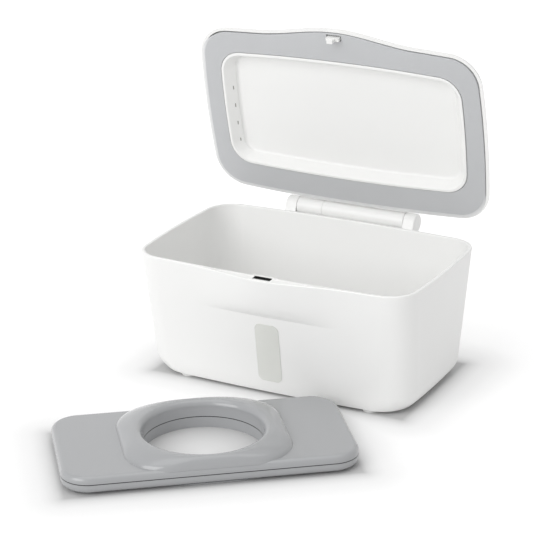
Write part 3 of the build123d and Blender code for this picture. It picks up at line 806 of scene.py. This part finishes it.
    def build_gasket(self, material: bpy.types.Material) -> None:
        """Makes the gasket again with a soft rounded edge that reaches the lid's outline, and marks in a
        UV layer where the painted highlight on that edge lies.
        """
        piece = merged_copy("lid_gasket")
        turn = shut_turn()
        piece.data.transform(turn)
        edge_top = self.gasket_low + self.old_round
        edge_highlight_share: dict[int, float] = {}
        for index, out in self.gasket_sides(piece).items():
            vertex = piece.data.vertices[index]
            share = self.puff_share(out)
            height = min(max(vertex.co.z - self.gasket_low, 0.0), self.old_round)
            level = math.sqrt(max(self.old_round ** 2 - (self.old_round - height) ** 2, 0.0))
            inward = self.old_round - level
            widen = share * (self.round_width / self.old_round - 1.0)
            deepen = 1.0 + share * (self.round_depth / self.old_round - 1.0)
            if vertex.co.z < edge_top + self.level_play:
                vertex.co.z = self.gasket_low + height * deepen
            vertex.co += out * (share * (self.gasket_inset - self.edge_inset) - inward * widen)
            # How much painted highlight each corner of the rounded edge gets; the material reads it from
            # the UV layer's X.
            edge_highlight_share[index] = share * (1.0 - inward / self.old_round)
        layer = piece.data.uv_layers.new(name="edge")
        for loop in piece.data.loops:
            layer.data[loop.index].uv = (edge_highlight_share.get(loop.vertex_index, 0.0), 0.0)
        piece.data.uv_layers.active = layer
        piece.data.transform(turn.inverted())
        smooth(piece, self.gasket_crease)
        settle(piece, "lid_gasket_ring", Body.LID, material)
        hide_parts("lid_gasket")


@dataclass
class Latch:
    """The push button, its hook, pivot pin and return spring."""

    hook: MouldedPlastic
    button: MouldedPlastic
    pin: Steel
    spring: Steel

    def build(self) -> None:
        """Dresses the latch's nodes."""
        dress("latch_hook", self.hook.make())
        dress("latch_button", self.button.make())
        dress("latch_pin", self.pin.make())
        dress("latch_spring", self.spring.make())


@dataclass
class Plate:
    """The loose plate: two glossy grey shells and the steel weight between them."""

    shell: MouldedPlastic
    # Painted shade: a dark slab inside the plate that shows in the seam's groove.
    seam_shade: MouldedPlastic
    weight: Steel
    length: float = 0.208
    width: float = 0.108
    corner: float = 0.020
    corner_facets: int = 24
    hole_facets: int = 192
    hole_cutter_height: float = 0.01
    seam_height: float = 0.0084
    seam_width: float = 0.0007
    seam_inset: float = 0.00008

    def build(self) -> None:
        """Dresses the plate's nodes and makes the dark slab of painted shade in the seam between its
        shells.
        """
        grey = self.shell.make()
        dress("plate_upper", grey)
        dress("plate_lower", grey)
        dress("plate_weight", self.weight.make())
        self.build_seam_shade()

    def build_seam_shade(self) -> None:
        """Makes a dark slab between the two shells, round the edge and round the hole, painted shade that
        shows in the groove of the seam.
        """
        low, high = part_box("plate_lower")
        piece = rounded_slab(self.length - 2 * self.seam_inset, self.width - 2 * self.seam_inset,
                             self.seam_width, self.corner - self.seam_inset, self.corner_facets)
        bpy.ops.mesh.primitive_cylinder_add(vertices=self.hole_facets, depth=self.hole_cutter_height,
                                            radius=PLATE_HOLE_RADIUS + self.seam_inset)
        cut_away(piece, bpy.context.object)
        seam_top = self.seam_height + self.seam_width / 2
        place = Vector(((low.x + high.x) / 2, (low.y + high.y) / 2, seam_top))
        piece.data.transform(Matrix.Translation(place) @ Matrix.Rotation(math.radians(PLATE_TURN), 4, "Z"))
        settle(piece, "plate_seam_shade", Body.PLATE, self.seam_shade.make())


@dataclass
class CameraRig:
    """The camera, at the photograph's viewing angle."""

    azimuth: float = 27.25
    elevation: float = 20.60
    roll: float = 0.355
    distance: float = 1.623
    lens: float = 135.0
    sensor: float = 36.0
    aim_from_tub: Vector = field(default_factory=lambda: Vector((-0.0300, 0.01365, 0.0636)))

    def build(self) -> None:
        """Makes the camera and turns it to its aim, a point near the tub's middle."""
        yaw = math.radians(self.azimuth)
        pitch = math.radians(self.elevation)
        roll = math.radians(self.roll)
        level = math.cos(pitch)
        ahead = Vector((-math.sin(yaw) * level, math.cos(yaw) * level, -math.sin(pitch)))
        right = Vector((math.cos(yaw), math.sin(yaw), 0.0))
        up = right.cross(ahead)
        turned_right = right * math.cos(roll) - up * math.sin(roll)
        turned_up = right * math.sin(roll) + up * math.cos(roll)
        place = Vector((0.0, tub_middle(), 0.0)) + self.aim_from_tub - ahead * self.distance
        bpy.ops.object.camera_add()
        camera = bpy.context.object
        camera.name = "photo_camera"
        camera.data.lens = self.lens
        camera.data.sensor_width = self.sensor
        turn = Matrix((turned_right, turned_up, -ahead)).transposed().to_4x4()
        camera.matrix_world = Matrix.Translation(place) @ turn
        bpy.context.scene.camera = camera
        log.info("camera: %.3f m away", self.distance)


@dataclass(frozen=True)
class Softbox:
    """A square lamp that faces a point."""

    name: str
    place: Triple
    aim: Triple
    width: float
    watts: float


@dataclass
class Studio:
    """A plain white floor that fades into the sky, with painted contact shadow near the tub and the plate,
    a soft lamp above and one in front.
    """

    floor_size: float = 12.0
    floor_colour: Colour = (0.92, 0.92, 0.92)
    floor_roughness: float = 0.7
    floor_specular: float = 0.2
    paper_grain: float = 0.2
    paper_spread: float = 0.005
    seen_floor: Colour = (0.53, 0.53, 0.53)
    # Painted shadow: the floor's seen glow is lowered near these footprints and in the plate's hole, by
    # these distances.
    tub_half: Pair = (0.104, 0.058)
    plate_half: Pair = (0.103, 0.053)
    hole_shadow_share: float = 0.15
    glow_past_painted_shadow: tuple[Pair, ...] = (
        (0.0, 0.01), (0.005, 0.24), (0.014, 0.38), (0.045, 0.52), (0.14, 0.64), (0.50, 0.85))
    sky_light: float = 0.62
    lamps: tuple[Softbox, ...] = (
        Softbox("top_lamp", (0.0, 0.0, 2.20), (0.0, 0.0, 0.08), width=2.0, watts=11.0),
        Softbox("front_lamp", (-0.60, -1.90, 1.20), (0.0, 0.0, 0.08), width=1.6, watts=22.5),
    )

    def build(self) -> None:
        """Makes the floor, the world and the lamps, and shows colours as they are written."""
        bpy.context.scene.view_settings.view_transform = "Standard"
        self.build_floor()
        self.build_world()
        for lamp in self.lamps:
            self.build_lamp(lamp)

    def box_distance(self, sketch: NodeSketch, middle: Vector, half: Pair,
                     turn: float) -> bpy.types.NodeSocket:
        """Adds a value that is the distance from an upright box to a place on the floor.

        Args:
            sketch: The node tree to add it to.
            middle: The box's middle.
            half: Half of the box's length and of its depth.
            turn: How far the box is turned about Z, in degrees.

        Returns:
            The distance's socket.
        """
        shift = sketch.add("ShaderNodeVectorMath", operation="SUBTRACT")
        shift.inputs[1].default_value = (middle.x, middle.y, 0.0)
        sketch.join(sketch.coords(), shift.inputs[0])
        rotate = sketch.add("ShaderNodeVectorRotate", rotation_type="Z_AXIS")
        rotate.inputs["Angle"].default_value = math.radians(-turn)
        sketch.join(shift.outputs["Vector"], rotate.inputs["Vector"])
        mirror = sketch.add("ShaderNodeVectorMath", operation="ABSOLUTE")
        sketch.join(rotate.outputs["Vector"], mirror.inputs[0])
        beyond = sketch.add("ShaderNodeVectorMath", operation="SUBTRACT")
        beyond.inputs[1].default_value = (half[0], half[1], 0.0)
        sketch.join(mirror.outputs["Vector"], beyond.inputs[0])
        outside = sketch.add("ShaderNodeVectorMath", operation="MAXIMUM")
        outside.inputs[1].default_value = (0.0, 0.0, 0.0)
        sketch.join(beyond.outputs["Vector"], outside.inputs[0])
        length = sketch.add("ShaderNodeVectorMath", operation="LENGTH")
        sketch.join(outside.outputs["Vector"], length.inputs[0])
        return length.outputs["Value"]

    def painted_shadow_distance(self, sketch: NodeSketch) -> bpy.types.NodeSocket:
        """Adds a value that grows with the distance from the tub and the plate, also in its hole; it
        places the floor's painted shadow.

        Args:
            sketch: The node tree to add it to.

        Returns:
            The value's socket.
        """
        tub_low, tub_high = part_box("tub")
        plate_low, plate_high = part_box("plate_lower")
        plate_middle = (plate_low + plate_high) / 2
        from_tub = self.box_distance(sketch, (tub_low + tub_high) / 2, self.tub_half, 0.0)
        from_plate = self.box_distance(sketch, plate_middle, self.plate_half, PLATE_TURN)
        nearest = sketch.add("ShaderNodeMath", operation="MINIMUM")
        sketch.join(from_tub, nearest.inputs[0])
        sketch.join(from_plate, nearest.inputs[1])
        from_hole = sketch.add("ShaderNodeVectorMath", operation="DISTANCE")
        from_hole.inputs[1].default_value = (plate_middle.x, plate_middle.y, 0.0)
        sketch.join(sketch.coords(), from_hole.inputs[0])
        in_hole = sketch.add("ShaderNodeMapRange")
        in_hole.inputs["From Min"].default_value = PLATE_HOLE_RADIUS
        in_hole.inputs["From Max"].default_value = 0.0
        in_hole.inputs["To Max"].default_value = PLATE_HOLE_RADIUS * self.hole_shadow_share
        sketch.join(from_hole.outputs["Value"], in_hole.inputs["Value"])
        clear = sketch.add("ShaderNodeMath", operation="MAXIMUM")
        sketch.join(nearest.outputs[0], clear.inputs[0])
        sketch.join(in_hole.outputs["Result"], clear.inputs[1])
        return clear.outputs[0]

    def build_floor(self) -> None:
        """Makes the floor, which looks whiter than it lights the object, most of all far away; its seen
        glow drops near the tub, near the plate and in the plate's hole, which paints their shadow on it.
        """
        deselect_all()
        bpy.ops.mesh.primitive_plane_add(size=self.floor_size)
        floor = bpy.context.object
        floor.name = "studio_floor"
        sketch = NodeSketch.for_material("floor_paper")
        surface = sketch.add("ShaderNodeBsdfPrincipled")
        surface.inputs["Roughness"].default_value = self.floor_roughness
        surface.inputs["Specular IOR Level"].default_value = self.floor_specular
        darker = shade(self.floor_colour, 1.0 - self.paper_spread)
        paper = sketch.tint(sketch.noise(self.paper_grain, detail=3.0), darker, self.floor_colour)
        seen = sketch.seen()
        colour = sketch.add("ShaderNodeMix", data_type="RGBA")
        sketch.join(seen, colour.inputs[0])
        sketch.join(paper, colour.inputs[6])
        colour.inputs[7].default_value = (*self.seen_floor, 1.0)
        sketch.join(colour.outputs[2], surface.inputs["Base Color"])
        ramp = sketch.add("ShaderNodeValToRGB")
        stops = ramp.color_ramp.elements
        while len(stops) < len(self.glow_past_painted_shadow):
            stops.new(1.0)
        for stop, (distance, glow) in zip(stops, self.glow_past_painted_shadow):
            stop.position = distance
            stop.color = (glow, glow, glow, 1.0)
        # Painted shadow: less glow near the tub and the plate and in the plate's hole.
        sketch.join(self.painted_shadow_distance(sketch), ramp.inputs["Fac"])
        glow_with_painted_shadow = sketch.add("ShaderNodeEmission")
        sketch.join(ramp.outputs["Color"], glow_with_painted_shadow.inputs["Color"])
        sketch.join(seen, glow_with_painted_shadow.inputs["Strength"])
        both = sketch.add("ShaderNodeAddShader")
        sketch.join(surface.outputs["BSDF"], both.inputs[0])
        sketch.join(glow_with_painted_shadow.outputs["Emission"], both.inputs[1])
        floor.data.materials.append(sketch.finish(both.outputs[0]))

    def build_world(self) -> None:
        """Makes an even sky, which looks white wherever it is seen."""
        world = bpy.data.worlds.new("studio_air")
        bpy.context.scene.world = world
        sketch = NodeSketch(world, "ShaderNodeOutputWorld")
        soft = sketch.add("ShaderNodeBackground")
        soft.inputs["Strength"].default_value = self.sky_light
        white = sketch.add("ShaderNodeBackground")
        for air in (soft, white):
            air.inputs["Color"].default_value = (1.0, 1.0, 1.0, 1.0)
        either = sketch.add("ShaderNodeMixShader")
        sketch.join(sketch.seen(), either.inputs[0])
        sketch.join(soft.outputs[0], either.inputs[1])
        sketch.join(white.outputs[0], either.inputs[2])
        sketch.finish(either.outputs[0])

    def build_lamp(self, box: Softbox) -> None:
        """Makes one lamp.

        Args:
            box: The lamp's place, size and power.
        """
        bpy.ops.object.light_add(type="AREA", location=box.place)
        lamp = bpy.context.object
        lamp.name = box.name
        lamp.data.shape = "SQUARE"
        lamp.data.size = box.width
        lamp.data.energy = box.watts
        ahead = Vector(box.aim) - Vector(box.place)
        lamp.rotation_euler = ahead.to_track_quat("-Z", "Y").to_euler()
        log.info("%s: %.1f W", box.name, box.watts)


def main() -> None:
    """Builds every part of the scene in order."""
    logging.basicConfig(level=logging.INFO, format="%(message)s")
    white: Colour = (0.88, 0.88, 0.87)
    grey: Colour = (0.345, 0.351, 0.360)
    bright = Steel("pin_steel", (0.62, 0.62, 0.62))
    wire = Steel("spring_wire", (0.50, 0.50, 0.50))
    CameraRig().build()
    Studio().build()
    Tub(
        shell=MouldedPlastic("tub_white", white, roughness=0.28),
        window=ClearPlastic("window_clear", (0.90, 0.91, 0.87), see_through=0.22),
        pads=SoftRubber("foot_pad_white", (0.72, 0.72, 0.71)),
        catch=Steel("catch_dark", (0.10, 0.10, 0.10)),
        pin=bright,
        spring=wire,
    ).build()
    Lid(
        shell=MouldedPlastic("lid_white", white, roughness=0.28),
        panel=MouldedPlastic("panel_white", white, roughness=0.34),
        # The gasket's paler outer edge is a painted highlight.
        gasket=SoftRubber("gasket_grey", (0.515, 0.523, 0.535), sheen=0.6, coat=0.5, painted_edge_highlight=0.9),
        screws=bright,
    ).build()
    Latch(
        hook=MouldedPlastic("hook_white", white, roughness=0.3),
        button=MouldedPlastic("button_grey", grey, roughness=0.2, coat=0.3),
        pin=bright,
        spring=wire,
    ).build()
    Plate(
        shell=MouldedPlastic("plate_grey", grey, roughness=0.24, coat=0.6, coat_roughness=0.07),
        seam_shade=MouldedPlastic("plate_seam_painted_shade", (0.03, 0.03, 0.032), roughness=0.5),
        weight=Steel("weight_steel", (0.40, 0.40, 0.41)),
    ).build()


if __name__ == "__main__":
    main()
